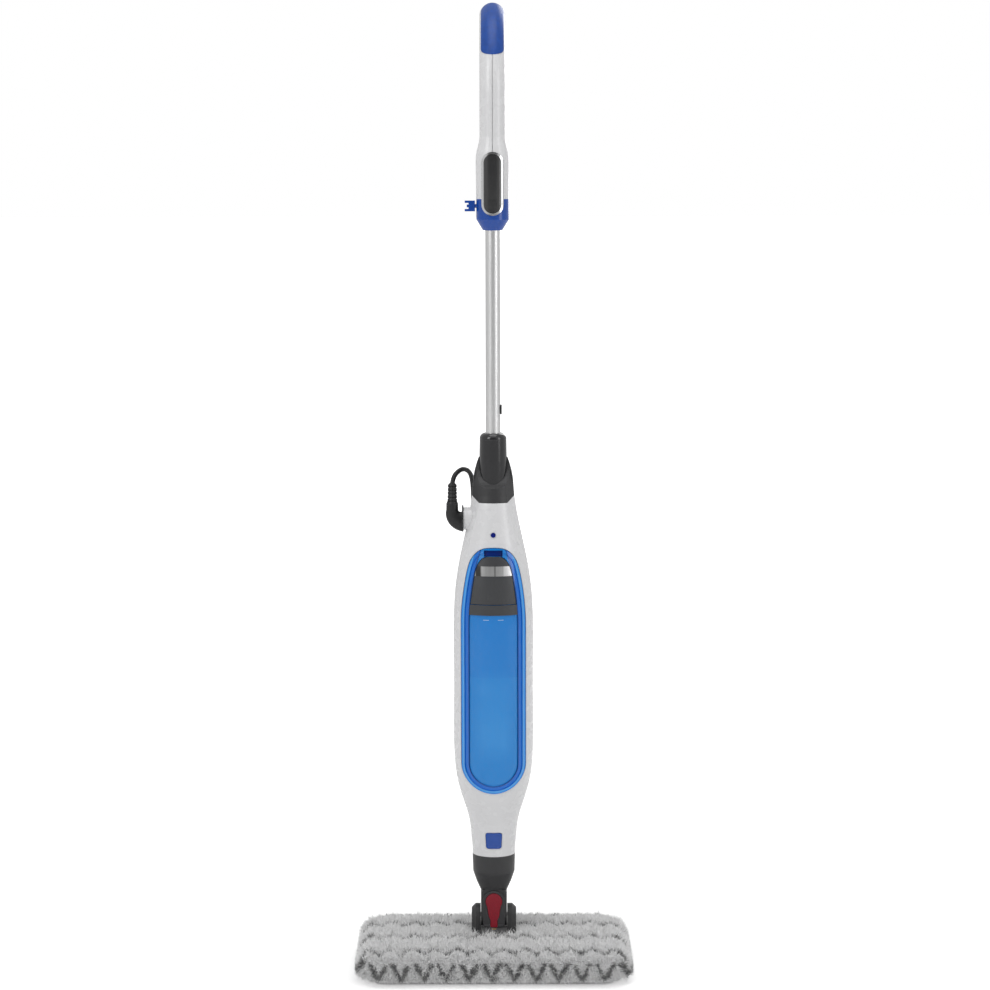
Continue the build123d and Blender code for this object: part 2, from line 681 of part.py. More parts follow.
def handle_shells():
    shell = handle_solid(0) - handle_solid(-WALL)
    shell -= badge_prism(*BADGE_SIZE)
    shell -= insert_prism() - handle_solid(-1.4)
    shell -= box(-SEAM_WIDTH / 2, SEAM_WIDTH / 2, -80, 200, 950, 1300) - handle_solid(-SEAM_DEPTH)
    shell += rod_x(2.6, -16, 16, *GRIP_BOSS) & handle_solid(-SEAM_DEPTH)
    shell -= rod_x(1.3, -20, 20, *GRIP_BOSS)
    left = shell & box(-60, 0, -80, 160, 900, 1300)
    right = shell & box(0, 60, -80, 160, 900, 1300)
    return left, right


def grip_insert():
    return insert_prism() & (handle_solid(0.7) - handle_solid(-1.4))


def badge_parts():
    core = stack(BADGE_SKIN, -WALL, straight=True)
    inner = badge_prism(BADGE_SIZE[0] - 5.0, BADGE_SIZE[1] - 5.0)
    bezel = (badge_prism(*BADGE_SIZE) - inner) & (stack(BADGE_SKIN, 1.4, straight=True) - core)
    return bezel, inner & (stack(BADGE_SKIN, 0.7, straight=True) - core)


def handle_collar():
    collar = stack(HANDLE_COLLAR, straight=True) - rod_z(POLE_R, 900, 960)
    collar -= badge_prism(*BADGE_SIZE)
    return collar - rod_x(2.5 + RUN_GAP, -30, -12, -2, 946.5)


def cord_clip():
    clip = rod_x(2.5, -25, -12.5, -2, 946.5) + box(-29.4, -21.5, -5, 1, 940, 953)
    clip += box(-31.5, -29, -5, 1, 944.8, 948.2)
    for z in (941.4, 951.6):
        clip += box(-34, -29, -5, 1, z - 1.4, z + 1.4)
    return clip


def main():
    save(head_block(), "head_block")
    save(base_plate(), "head_base_plate")
    save(head_screws(), "head_screws")
    save(rod_z(3.0, PLATE_BOTTOM, BLOCK_TOP, 0, 12) - rod_z(1.2, 0, 60, 0, 12), "steam_nozzle")
    save(rod_x(PIN_R, -LUG_OUT, LUG_OUT, 0, PITCH_Z), "pitch_pin")
    wing_pins = [rod_y(1.5, -24, 24, s * WING_X, WING_Z) for s in (-1, 1)]
    save(Compound(children=wing_pins), "wing_pins")
    for side, name in ((-1, "left"), (1, "right")):
        save(wing(side), "head_wing_" + name)
        save(pad_half(side), "mop_pad_" + name)
    save(pad_centre(), "mop_pad_centre")

    save(neck_link(), "neck_link")
    save(rod_y(PIN_R, -LINK_HALF_Y + 1.5, LINK_HALF_Y, 0, ROLL_Z), "roll_pin")
    save(release_lever(), "pad_release_lever")
    save(neck_collar(), "neck_collar")
    save(rod_z(4.0, 110, COLLAR_TOP + 25) - rod_z(2.5, 100, 200), "collar_steam_tube")

    shell = housing_shell()
    save(front_housing(shell), "front_housing")
    save(rear_housing(shell), "rear_housing")
    save(housing_screws(), "housing_screws")
    save(top_cap(), "top_cap")
    save(pole_socket(), "pole_socket")
    save(spigot_socket(), "spigot_socket")
    save(release_button(), "release_button")
    save(boiler(), "boiler")
    save(pump(), "pump")
    save(circuit_board(), "circuit_board")
    save(hose([(14, 18, 262), (14, 18, 274), (4, 20, 288), (4, 20, 300)], 3, 1), "pump_hose")
    save(hose(INTAKE_ROUTE, 3, 1), "intake_hose")
    save(hose(STEAM_ROUTE, 3, 1), "steam_hose")
    save(tank_valve_seat(), "tank_valve_seat")
    save(status_ring(), "status_ring")
    save(status_lens(), "status_lens")
    save(cord_boss(), "cord_boss")
    save(cord_flange(), "cord_flange")
    save(strain_relief(), "strain_relief")
    save(cord_tube(), "power_cord")
    hank = cord_hank()
    save(hank, "cord_hank")
    save(cord_tail(hank), "cord_tail")
    save(cord_tie(), "cord_tie")
    save(cord_hook(), "cord_hook")
    save(plug(), "power_plug")
    save(plug_pins(), "plug_pins")

    save(water_tank(), "water_tank")
    save(tank_valve(), "tank_valve")
    save(tank_band(), "tank_band")
    save(fill_door(), "fill_door")
    save(door_trim(), "fill_door_trim")
    save(stopper(), "filler_stopper")

    save(pole(), "pole")
    save(pole_lock_button(), "pole_lock_button")
    left, right = handle_shells()
    save(left, "handle_shell_left")
    save(right, "handle_shell_right")
    save(grip_insert(), "grip_insert")
    bezel, plate = badge_parts()
    save(bezel, "badge_bezel")
    save(plate, "badge_plate")
    save(handle_collar(), "handle_collar")
    save(cord_clip(), "cord_clip")


main()
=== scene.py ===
import math
import random

import bmesh
import bpy
import numpy as np
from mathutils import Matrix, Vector


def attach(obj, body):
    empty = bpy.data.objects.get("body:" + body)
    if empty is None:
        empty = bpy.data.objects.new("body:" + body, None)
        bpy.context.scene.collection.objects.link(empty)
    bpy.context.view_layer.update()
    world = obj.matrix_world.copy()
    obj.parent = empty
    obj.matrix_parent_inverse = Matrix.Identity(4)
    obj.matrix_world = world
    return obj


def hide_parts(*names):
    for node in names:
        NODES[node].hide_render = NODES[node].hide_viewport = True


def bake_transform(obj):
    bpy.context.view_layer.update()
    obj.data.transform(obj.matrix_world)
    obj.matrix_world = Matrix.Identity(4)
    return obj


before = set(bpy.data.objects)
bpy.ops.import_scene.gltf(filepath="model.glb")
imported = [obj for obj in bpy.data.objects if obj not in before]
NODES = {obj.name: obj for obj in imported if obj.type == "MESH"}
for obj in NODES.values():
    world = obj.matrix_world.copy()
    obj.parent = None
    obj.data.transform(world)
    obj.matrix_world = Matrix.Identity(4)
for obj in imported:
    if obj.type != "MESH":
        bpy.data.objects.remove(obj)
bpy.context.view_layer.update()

random.seed(7)
rng = np.random.default_rng(7)

# ------------------------------------------------------------------ camera, floor and light

CAMERA_AT = (0.0023, -3.46, 1.04)
CAMERA_PITCH = 7.4
CAMERA_ROLL = -0.108
CAMERA_LENS = 102.6
SKY = 0.56
DARK_SKY = 0.10
DARK_FROM = 0.75
DARK_TO = 0.95
FLOOR_GLOW = (0.35, 1.0)
FLOOR_FADE = (0.6, 5.0)
# Name, place, height that it aims at, width, height and power
LIGHTS = (
    ("key", (-1.9, -2.2, 2.1), 0.55, 1.1, 2.0, 20),
    ("fill", (2.3, -1.6, 1.3), 0.6, 0.9, 1.8, 10),
    ("top", (0.0, -0.3, 3.0), 0.3, 1.6, 1.6, 13),
    ("rim", (0.9, 2.0, 1.6), 0.7, 0.8, 1.6, 12),
)


def make_camera():
    data = bpy.data.cameras.new("camera")
    data.lens = CAMERA_LENS
    data.sensor_width = 36.0
    camera = bpy.data.objects.new("camera", data)
    camera.location = CAMERA_AT
    camera.rotation_mode = "ZYX"
    camera.rotation_euler = (math.radians(90 - CAMERA_PITCH), 0, math.radians(CAMERA_ROLL))
    bpy.context.scene.collection.objects.link(camera)
    bpy.context.scene.camera = camera


def area_light(name, at, aim, size, power):
    data = bpy.data.lights.new(name, "AREA")
    data.energy = power
    data.shape = "RECTANGLE"
    data.size, data.size_y = size
    light = bpy.data.objects.new(name, data)
    light.location = at
    light.rotation_euler = (Vector(aim) - Vector(at)).to_track_quat("-Z", "Y").to_euler()
    bpy.context.scene.collection.objects.link(light)


def make_world():
    """Pale all round, darker in front of the mop, and plain white where the camera sees it."""
    world = bpy.data.worlds.new("studio")
    world.use_nodes = True
    tree = world.node_tree
    studio = tree.nodes["Background"]
    parts = tree.nodes.new("ShaderNodeSeparateXYZ")
    tree.links.new(tree.nodes.new("ShaderNodeTexCoord").outputs["Generated"], parts.inputs[0])
    dim = add(tree, "ShaderNodeMapRange", From_Min=-DARK_FROM, From_Max=-DARK_TO, To_Min=SKY, To_Max=DARK_SKY)
    dim.interpolation_type = "SMOOTHSTEP"
    tree.links.new(parts.outputs["Y"], dim.inputs["Value"])
    tree.links.new(dim.outputs["Result"], studio.inputs["Strength"])
    studio.inputs["Color"].default_value = (1.0, 1.0, 1.0, 1.0)
    paper = add(tree, "ShaderNodeBackground", Color=(1.0, 1.0, 1.0, 1.0), Strength=1.0)
    mix = tree.nodes.new("ShaderNodeMixShader")
    tree.links.new(tree.nodes.new("ShaderNodeLightPath").outputs["Is Camera Ray"], mix.inputs[0])
    tree.links.new(studio.outputs[0], mix.inputs[1])
    tree.links.new(paper.outputs[0], mix.inputs[2])
    tree.links.new(mix.outputs[0], tree.nodes["World Output"].inputs["Surface"])
    bpy.context.scene.world = world
    bpy.context.scene.view_settings.view_transform = "Standard"


def make_light():
    for name, at, aim_z, width, height, power in LIGHTS:
        area_light(name, at, (0, 0, aim_z), (width, height), power)


def make_floor():
    mesh = bpy.data.meshes.new("floor")
    form = bmesh.new()
    bmesh.ops.create_grid(form, x_segments=2, y_segments=2, size=30)
    form.to_mesh(mesh)
    form.free()
    floor = bpy.data.objects.new("floor", mesh)
    bpy.context.scene.collection.objects.link(floor)
    floor.data.materials.append(floor_material())


# ------------------------------------------------------------------ materials

TANK_HALF = 0.03975
TANK_FOOT = 0.259
TANK_BOWL = 0.037
TANK_SHOULDER = 0.430
TANK_TAPER = 2.55
WATER_LINE = 0.3686
TRIM_HALF = 0.0229
# Painted reflection across the trim: place along the strip and its grey.
TRIM_PAINTED_REFLECTION = ((0.0, 0.75), (0.04, 0.01), (0.15, 0.015), (0.19, 0.55), (0.52, 0.60), (0.545, 0.12),
              (0.57, 0.62), (0.76, 0.70), (0.80, 0.98))
RIM_DEPTH = 20.0
# Rim tones: a painted highlight on the pale outer bevel, the deep band's own blue, and painted shade in the
# thin groove.
RIM_TONES_WITH_PAINTED_LIGHT = ((0.05, (0.02, 0.30, 0.95)), (0.14, (0.12, 0.50, 1.0)), (0.21, (0.003, 0.20, 0.80)),
             (0.43, (0.002, 0.17, 0.72)), (0.46, (0.0, 0.05, 0.30)), (0.50, (0.0, 0.05, 0.30)))
WINDOW_DRY = (0.004, 0.235, 0.74)
WINDOW_WET = (0.014, 0.30, 0.80)
# Painted highlight: the colour of the lighter patch low in the middle of the window.
WINDOW_PAINTED_GLOW = (0.07, 0.42, 0.92)
# Painted shade: half width, height range and dark blue of the hollow near the top of the tank.
SCOOP_SHADE = (0.0114, (0.5188, 0.5266), (0.001, 0.03, 0.26))
FILL_DASHES = ((0.0055, 0.0125), (0.4405, 0.4411), (0.55, 0.72, 0.9))


def new_material(name):
    material = bpy.data.materials.new(name)
    material.use_nodes = True
    return material, material.node_tree, material.node_tree.nodes["Principled BSDF"]


def add(tree, kind, **sockets):
    node = tree.nodes.new(kind)
    for key, value in sockets.items():
        node.inputs[key.replace("_", " ")].default_value = value
    return node


def position(tree):
    return tree.nodes.new("ShaderNodeTexCoord").outputs["Object"]


def noise(tree, scale, detail=3.0, rough=0.5):
    node = add(tree, "ShaderNodeTexNoise", Scale=scale, Detail=detail, Roughness=rough)
    tree.links.new(position(tree), node.inputs["Vector"])
    return node.outputs["Fac"]


def ranged(tree, value, low, high):
    node = add(tree, "ShaderNodeMapRange", To_Min=low, To_Max=high)
    tree.links.new(value, node.inputs["Value"])
    return node.outputs["Result"]


def blend_colors(tree, factor, first, second):
    node = tree.nodes.new("ShaderNodeMix")
    node.data_type = "RGBA"
    tree.links.new(factor, node.inputs["Factor"])
    for socket, color in ((node.inputs[6], first), (node.inputs[7], second)):
        if isinstance(color, tuple):
            socket.default_value = (*color, 1.0)
        else:
            tree.links.new(color, socket)
    return node.outputs[2]


def calculate(tree, operation, *values):
    node = tree.nodes.new("ShaderNodeMath")
    node.operation = operation
    for socket, value in zip(node.inputs, values):
        if isinstance(value, (int, float)):
            socket.default_value = value
        else:
            tree.links.new(value, socket)
    return node.outputs[0]


def ramp(tree, value, *stops):
    """A color ramp: stops are (place, color), blended in between."""
    node = tree.nodes.new("ShaderNodeValToRGB")
    elements = node.color_ramp.elements
    while len(elements) < len(stops):
        elements.new(0.5)
    for element, (place, color) in zip(elements, stops):
        element.position = place
        element.color = (*color, 1.0)
    tree.links.new(value, node.inputs["Fac"])
    return node.outputs["Color"]


def soft_edges(tree, radius=0.0006):
    """Rounded normals, and a mask that is 1 on worn edges."""
    bevel = add(tree, "ShaderNodeBevel", Radius=radius)
    bevel.samples = 4
    geometry = tree.nodes.new("ShaderNodeNewGeometry")
    dot = tree.nodes.new("ShaderNodeVectorMath")
    dot.operation = "DOT_PRODUCT"
    tree.links.new(bevel.outputs["Normal"], dot.inputs[0])
    tree.links.new(geometry.outputs["Normal"], dot.inputs[1])
    mask = add(tree, "ShaderNodeMapRange", From_Min=0.985, From_Max=0.86)
    tree.links.new(dot.outputs["Value"], mask.inputs["Value"])
    return bevel.outputs["Normal"], mask.outputs["Result"]


def bump(tree, shader, height, strength, distance, normal=None):
    node = add(tree, "ShaderNodeBump", Strength=strength, Distance=distance)
    tree.links.new(height, node.inputs["Height"])
    if normal:
        tree.links.new(normal, node.inputs["Normal"])
    tree.links.new(node.outputs["Normal"], shader.inputs["Normal"])


def tinted(color, gain):
    return tuple(min(1.0, c * gain) for c in color)


def plastic(name, color, rough, grain=2600.0, depth=0.00003, coat=0.0, wear=1.25, mottle=0.06):
    """Moulded plastic: fine spark texture, slight colour variation, edges worn lighter."""
    material, tree, shader = new_material(name)
    cloud = noise(tree, 22.0, 4.0)
    base = blend_colors(tree, cloud, tinted(color, 1.0 - mottle), tinted(color, 1.0 + mottle))
    rounded, mask = soft_edges(tree)
    worn = blend_colors(tree, mask, base, tinted(color, wear))
    tree.links.new(worn, shader.inputs["Base Color"])
    fine = noise(tree, grain, 2.0)
    uneven = ranged(tree, noise(tree, 90.0, 5.0), rough - 0.05, rough + 0.07)
    tree.links.new(uneven, shader.inputs["Roughness"])
    bump(tree, shader, fine, 0.35, depth, rounded)
    shader.inputs["Coat Weight"].default_value = coat
    shader.inputs["Coat Roughness"].default_value = 0.06
    return material


def metal(name, color, rough, stretch=(1.0, 1.0, 40.0), depth=0.00001):
    """Metal with fine lines drawn along its length."""
    material, tree, shader = new_material(name)
    mapping = add(tree, "ShaderNodeMapping", Scale=tuple(900.0 / s for s in stretch))
    tree.links.new(position(tree), mapping.inputs["Vector"])
    grain = add(tree, "ShaderNodeTexNoise", Scale=1.0, Detail=4.0)
    tree.links.new(mapping.outputs["Vector"], grain.inputs["Vector"])
    tone = blend_colors(tree, grain.outputs["Fac"], tinted(color, 0.93), tinted(color, 1.06))
    tree.links.new(tone, shader.inputs["Base Color"])
    tree.links.new(ranged(tree, grain.outputs["Fac"], rough - 0.04, rough + 0.08), shader.inputs["Roughness"])
    shader.inputs["Metallic"].default_value = 1.0
    bump(tree, shader, grain.outputs["Fac"], 0.2, depth)
    return material


def edge_distance(tree, across, height):
    """How far inside the tank's outline a point is, in mm: round foot, straight sides, drawn-in top."""
    side = calculate(tree, "ABSOLUTE", across)
    drop = calculate(tree, "MINIMUM", calculate(tree, "SUBTRACT", height, TANK_FOOT), 0.0)
    wide = calculate(tree, "DIVIDE", side, TANK_HALF)
    deep = calculate(tree, "DIVIDE", drop, TANK_BOWL)
    round_foot = calculate(tree, "SQRT", calculate(tree, "ADD", calculate(tree, "POWER", wide, 2.0),
                                                   calculate(tree, "MULTIPLY", deep, deep)))
    inside = calculate(tree, "MULTIPLY", calculate(tree, "SUBTRACT", 1.0, round_foot), TANK_HALF)
    rise = calculate(tree, "MAXIMUM", calculate(tree, "SUBTRACT", height, TANK_SHOULDER), 0.0)
    drawn_in = calculate(tree, "MULTIPLY", calculate(tree, "POWER", rise, 2.2), TANK_TAPER)
    return calculate(tree, "MULTIPLY", calculate(tree, "SUBTRACT", inside, drawn_in), 1000.0)


def band_mask(tree, value, low, high, soft):
    """1 between low and high, with soft ends."""
    up = add(tree, "ShaderNodeMapRange", From_Min=low - soft, From_Max=low + soft)
    down = add(tree, "ShaderNodeMapRange", From_Min=high - soft, From_Max=high + soft, To_Min=1.0, To_Max=0.0)
    for node in (up, down):
        tree.links.new(value, node.inputs["Value"])
    return calculate(tree, "MULTIPLY", up.outputs["Result"], down.outputs["Result"])


def tank_material():
    """Blue tank: painted highlight on the pale outer bevel, deep band, painted shade in the thin groove, and
    a window with its water line, a painted highlight low in its middle and painted shade in the hollow near
    its top.
    """
    material, tree, shader = new_material("blue_clear_tank")
    parts = tree.nodes.new("ShaderNodeSeparateXYZ")
    tree.links.new(position(tree), parts.inputs[0])
    across, height = parts.outputs["X"], parts.outputs["Z"]
    side = calculate(tree, "ABSOLUTE", across)
    window = blend_colors(tree, band_mask(tree, height, 0.0, WATER_LINE, 0.0007),
                          WINDOW_DRY, WINDOW_WET)
    # Painted highlight: a lighter patch low in the middle of the window, below the water line.
    glow = calculate(tree, "MULTIPLY", band_mask(tree, side, -1.0, 0.019, 0.006),
                     band_mask(tree, height, 0.272, WATER_LINE, 0.012))
    window = blend_colors(tree, calculate(tree, "MULTIPLY", glow, 0.7), window, WINDOW_PAINTED_GLOW)
    window = blend_colors(tree, noise(tree, 14.0, 2.0), window, tinted((0.006, 0.25, 0.74), 1.05))
    deep = calculate(tree, "DIVIDE", edge_distance(tree, across, height), RIM_DEPTH)
    mask = ramp(tree, deep, (0.47, (0, 0, 0)), (0.53, (1, 1, 1)))
    # Rim colour, with the painted bevel highlight and the painted groove shade.
    rim = ramp(tree, deep, *RIM_TONES_WITH_PAINTED_LIGHT)
    color = blend_colors(tree, mask, rim, window)
    # Painted shade: the hollow near the top of the tank is painted dark blue where shade falls in it.
    half, rise, dark = SCOOP_SHADE
    scoop_shade = calculate(tree, "MULTIPLY", band_mask(tree, side, -1.0, half, 0.0004),
                      band_mask(tree, height, *rise, 0.0003))
    color = blend_colors(tree, scoop_shade, color, dark)
    ends, rise, pale = FILL_DASHES
    dashes = calculate(tree, "MULTIPLY", band_mask(tree, side, *ends, 0.0001),
                       band_mask(tree, height, *rise, 0.0001))
    tree.links.new(blend_colors(tree, dashes, color, pale), shader.inputs["Base Color"])
    flow = noise(tree, 14.0, 2.0)
    tree.links.new(ranged(tree, noise(tree, 60.0, 4.0), 0.10, 0.20), shader.inputs["Roughness"])
    shader.inputs["Transmission Weight"].default_value = 0.1
    shader.inputs["IOR"].default_value = 1.46
    shader.inputs["Coat Weight"].default_value = 0.4
    shader.inputs["Coat Roughness"].default_value = 0.06
    bump(tree, shader, flow, 0.15, 0.0002)
    return material


def trim_material():
    """Bright strip over the filler with its reflection painted in: black at the left, brushed grey, white at
    the right.
    """
    material, tree, shader = new_material("trim_painted_reflection")
    parts = tree.nodes.new("ShaderNodeSeparateXYZ")
    tree.links.new(position(tree), parts.inputs[0])
    along = calculate(tree, "ADD", calculate(tree, "DIVIDE", parts.outputs["X"], 2 * TRIM_HALF), 0.5)
    # The ramp across the strip is a painted reflection, black at the left to white at the right.
    tone = ramp(tree, along, *((place, (gray, gray, gray)) for place, gray in TRIM_PAINTED_REFLECTION))
    mapping = add(tree, "ShaderNodeMapping", Scale=(1600.0, 30.0, 30.0))
    tree.links.new(position(tree), mapping.inputs["Vector"])
    lines = add(tree, "ShaderNodeTexNoise", Scale=1.0, Detail=3.0)
    tree.links.new(mapping.outputs["Vector"], lines.inputs["Vector"])
    streak = calculate(tree, "MULTIPLY", lines.outputs["Fac"], 0.45)
    tree.links.new(blend_colors(tree, streak, tone, (0.12, 0.12, 0.12)), shader.inputs["Base Color"])
    shader.inputs["Metallic"].default_value = 0.5
    shader.inputs["Roughness"].default_value = 0.28
    return material


def floor_material():
    """White paper that glows to the camera, more so far away, so no horizon shows."""
    material, tree, shader = new_material("floor_paper")
    tone = blend_colors(tree, noise(tree, 3.0), (0.93, 0.93, 0.93), (0.97, 0.97, 0.97))
    tree.links.new(tone, shader.inputs["Base Color"])
    shader.inputs["Roughness"].default_value = 0.7
    far = tree.nodes.new("ShaderNodeVectorMath")
    far.operation = "LENGTH"
    tree.links.new(position(tree), far.inputs[0])
    glow = add(tree, "ShaderNodeMapRange", From_Min=FLOOR_FADE[0], From_Max=FLOOR_FADE[1],
               To_Min=FLOOR_GLOW[0], To_Max=FLOOR_GLOW[1])
    tree.links.new(far.outputs["Value"], glow.inputs["Value"])
    seen = tree.nodes.new("ShaderNodeLightPath").outputs["Is Camera Ray"]
    strength = calculate(tree, "MULTIPLY", glow.outputs["Result"], seen)
    tree.links.new(strength, shader.inputs["Emission Strength"])
    shader.inputs["Emission Color"].default_value = (1.0, 1.0, 1.0, 1.0)
    return material


def pile_material():
    """Microfibre: each tuft carries its own tint, which holds painted shade: roots darker than tips, and the
    front side darker low down.
    """
    material, tree, shader = new_material("microfibre_pile")
    tint = tree.nodes.new("ShaderNodeVertexColor")
    tint.layer_name = "tint"
    speck = noise(tree, 700.0, 2.0)
    varied = blend_colors(tree, ranged(tree, speck, 0.0, 0.35), tint.outputs["Color"], (0.74, 0.74, 0.74))
    tree.links.new(varied, shader.inputs["Base Color"])
    shader.inputs["Roughness"].default_value = 0.95
    shader.inputs["Sheen Weight"].default_value = 0.5
    shader.inputs["Sheen Roughness"].default_value = 0.4
    bump(tree, shader, speck, 0.4, 0.0004)
    return material


def red_texture():
    material, tree, shader = new_material("red_textured_plastic")
    cells = add(tree, "ShaderNodeTexVoronoi", Scale=900.0)
    tree.links.new(position(tree), cells.inputs["Vector"])
    tone = blend_colors(tree, cells.outputs["Distance"], (0.36, 0.002, 0.02), (0.20, 0.001, 0.012))
    tree.links.new(tone, shader.inputs["Base Color"])
    shader.inputs["Roughness"].default_value = 0.42
    bump(tree, shader, cells.outputs["Distance"], 0.6, 0.0003)
    return material


def rubber(name, color, rough=0.55):
    """Rubber or a soft sheath: cloudy tone and a fine grain."""
    material, tree, shader = new_material(name)
    cloud = noise(tree, 160.0, 5.0)
    tone = blend_colors(tree, cloud, tinted(color, 0.8), tinted(color, 1.5))
    tree.links.new(tone, shader.inputs["Base Color"])
    tree.links.new(ranged(tree, cloud, rough - 0.08, rough + 0.12), shader.inputs["Roughness"])
    bump(tree, shader, noise(tree, 1800.0, 2.0), 0.3, 0.00004)
    return material


def circuit(name):
    material, tree, shader = new_material(name)
    brick = add(tree, "ShaderNodeTexBrick", Scale=260.0)
    tree.links.new(position(tree), brick.inputs["Vector"])
    tree.links.new(blend_colors(tree, brick.outputs["Fac"], (0.01, 0.12, 0.04), (0.35, 0.3, 0.1)),
                   shader.inputs["Base Color"])
    shader.inputs["Roughness"].default_value = 0.35
    return material


MATERIALS = {
    "white": plastic("white_shell", (0.80, 0.80, 0.81), 0.26, depth=0.00002, coat=0.35, wear=1.08,
                     mottle=0.02),
    "charcoal": plastic("charcoal_moulded", (0.040, 0.040, 0.042), 0.42, grain=1900.0, wear=2.2),
    "charcoal_gloss": plastic("charcoal_gloss", (0.018, 0.018, 0.02), 0.14, coat=0.6, wear=2.5),
    "gray": plastic("gray_cap", (0.056, 0.058, 0.062), 0.38, grain=2100.0, wear=1.7),
    "blue": plastic("blue_gloss", (0.002, 0.066, 0.38), 0.2, coat=0.4, wear=1.6, mottle=0.05),
    "soft_blue": rubber("blue_soft_grip", (0.002, 0.055, 0.30), 0.36),
    "tank": tank_material(),
    "trim": trim_material(),
    "red": red_texture(),
    "inner": plastic("inner_plastic", (0.11, 0.11, 0.12), 0.5, wear=1.4),
    "steel": metal("steel", (0.6, 0.6, 0.6), 0.3),
    "chrome": metal("bright_chrome", (0.86, 0.86, 0.87), 0.05, depth=0.000002),
    "aluminium": metal("satin_aluminium", (0.86, 0.86, 0.86), 0.34),
    "brass": metal("brass", (0.72, 0.5, 0.2), 0.32),
    "rubber": rubber("black_rubber", (0.014, 0.014, 0.015), 0.45),
    "cord": rubber("cord_sheath", (0.008, 0.008, 0.009), 0.4),
    "silicone": rubber("silicone_hose", (0.5, 0.5, 0.48), 0.4),
    "board": circuit("circuit_board_coat"),
    "lens": plastic("indicator_lens", (0.002, 0.012, 0.20), 0.12, coat=0.8, wear=1.3),
    "ring": plastic("indicator_ring", (0.70, 0.71, 0.74), 0.3, wear=1.1),
    "badge": plastic("badge_gloss_black", (0.030, 0.030, 0.031), 0.08, coat=1.0, wear=1.6),
    "pile": pile_material(),
}

NODE_MATERIALS = {
    "white": ["front_housing", "rear_housing", "cord_boss", "handle_shell_left", "handle_shell_right"],
    "charcoal": ["neck_collar", "neck_link", "head_block", "top_cap", "cord_hook"],
    "charcoal_gloss": ["pole_socket"],
    "gray": ["fill_door", "tank_band"],
    "blue": ["release_button", "handle_collar", "cord_clip"],
    "soft_blue": ["grip_insert"],
    "tank": ["water_tank"],
    "red": ["pad_release_lever"],
    "inner": ["head_base_plate", "head_wing_left", "head_wing_right", "spigot_socket", "tank_valve_seat",
              "pump"],
    "steel": ["head_screws", "pitch_pin", "wing_pins", "roll_pin", "housing_screws", "plug_pins"],
    "chrome": ["badge_bezel"],
    "trim": ["fill_door_trim"],
    "aluminium": ["pole", "boiler"],
    "brass": ["steam_nozzle"],
    "rubber": ["strain_relief", "cord_flange", "filler_stopper", "tank_valve", "cord_tie", "pole_lock_button",
               "power_plug"],
    "silicone": ["pump_hose", "intake_hose", "steam_hose", "collar_steam_tube"],
    "board": ["circuit_board"],
    "lens": ["status_lens"],
    "ring": ["status_ring"],
    "badge": ["badge_plate"],
}


def dress_nodes():
    for key, names in NODE_MATERIALS.items():
        for name in names:
            for slot in NODES[name].material_slots:
                slot.material = MATERIALS[key]


# ------------------------------------------------------------------ cord

MM = 0.001
CORD_D = 0.006
CORD_ROUTE = [
    (-50.6, 8.2, 603.6), (-49.4, 12.0, 611.0), (-45.0, 17.2, 616.8), (-38.6, 23.6, 620.4),
    (-32.4, 31.2, 618.6), (-27.8, 39.4, 612.0), (-25.8, 46.6, 601.4), (-25.0, 51.6, 586.0),
    (-24.5, 53.6, 561.0), (-24.1, 52.2, 521.0), (-24.0, 49.6, 481.0),
]
HANK_Z = 405.0
HANK_RUN = 110.0
HANK_TURNS = [(24, 0), (30, 0)]
HANK_TURNS += [(r, k) for k in (1, 2, 3, 4) for r in ((30, 24, 18) if k % 2 else (18, 24, 30))]
HANK_FIRST_Y = 49.6
LAYER = 5.95
TAIL = (-30.0, 73.4)
PLUG_TOP = 300.0


def hank_points():
    """Stadium-shaped turns: down the left, round the foot, up the right and over the top."""
    points = []
    low, high = HANK_Z - HANK_RUN / 2, HANK_Z + HANK_RUN / 2
    following = HANK_TURNS[1:] + [HANK_TURNS[-1]]
    for (radius, layer), (next_radius, next_layer) in zip(HANK_TURNS, following):
        y = HANK_FIRST_Y + LAYER * layer
        next_y = HANK_FIRST_Y + LAYER * next_layer
        for z in (high - 12, HANK_Z + 18, HANK_Z - 18, low + 12):
            points.append((-radius, y, z))
        for step in range(1, 6):
            angle = math.radians(180 + 30 * step)
            points.append((1.02 * radius * math.cos(angle), y, low + 1.02 * radius * math.sin(angle)))
        for z in (low + 12, HANK_Z - 18, HANK_Z + 18, high - 12):
            points.append((radius, y, z))
        for step in range(1, 6):
            angle = math.radians(30 * step)
            share = step / 6
            r = 1.02 * (radius + (next_radius - radius) * share)
            points.append((r * math.cos(angle), y + (next_y - y) * share, high + r * math.sin(angle)))
    return points


def make_cord():
    heights = (HANK_Z + 40, HANK_Z, HANK_Z - 40, 345, 325, PLUG_TOP + 4, PLUG_TOP)
    last_run = [(*TAIL, z) for z in heights]
    points = [tuple(c * MM for c in p) for p in CORD_ROUTE + hank_points() + last_run]
    curve = bpy.data.curves.new("power_cord_line", "CURVE")
    curve.dimensions = "3D"
    spline = curve.splines.new("NURBS")
    spline.points.add(len(points) - 1)
    for point, place in zip(spline.points, points):
        point.co = (*place, 1.0)
    spline.order_u = 3
    spline.use_endpoint_u = True
    spline.resolution_u = 6
    curve.bevel_depth = CORD_D / 2
    curve.bevel_resolution = 4
    curve.use_fill_caps = True
    curve.materials.append(MATERIALS["cord"])
    cord = bpy.data.objects.new("mains_cord", curve)
    bpy.context.scene.collection.objects.link(cord)
    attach(cord, "mop_body")
    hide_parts("power_cord", "cord_hank", "cord_tail")


# ------------------------------------------------------------------ mop pad

